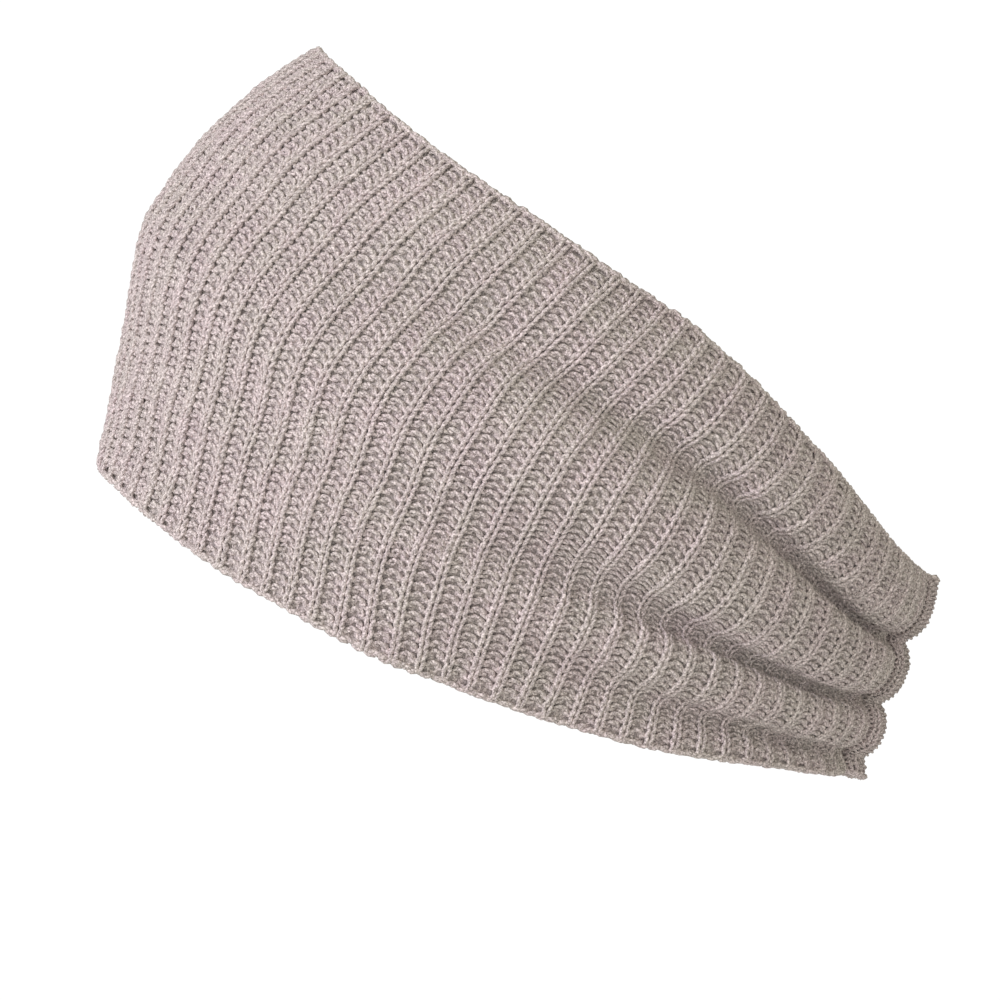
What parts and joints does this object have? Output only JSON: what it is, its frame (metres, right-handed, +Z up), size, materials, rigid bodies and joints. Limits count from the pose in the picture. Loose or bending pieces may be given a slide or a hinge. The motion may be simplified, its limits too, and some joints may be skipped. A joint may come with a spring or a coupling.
{
  "type": "athletic headband",
  "caption": "Wide rib-knit headband in its worn form, deep over the forehead and gathered into pleats at a seam behind, with an open hollow for the head.",
  "frame": {"origin": "the middle of the hollow that the head fills", "axes": "+Z up on an upright head, -X towards the forehead, -Y towards the wearer's left, which is the side that the picture shows"},
  "size_m": [0.1844, 0.1456, 0.1619],
  "materials": {
    "yarn": "matte taupe wool-blend yarn, knitted in 1x1 rib"
  },
  "bodies": {
    "root": {"knit_band": "yarn"}
  },
  "joints": []
}
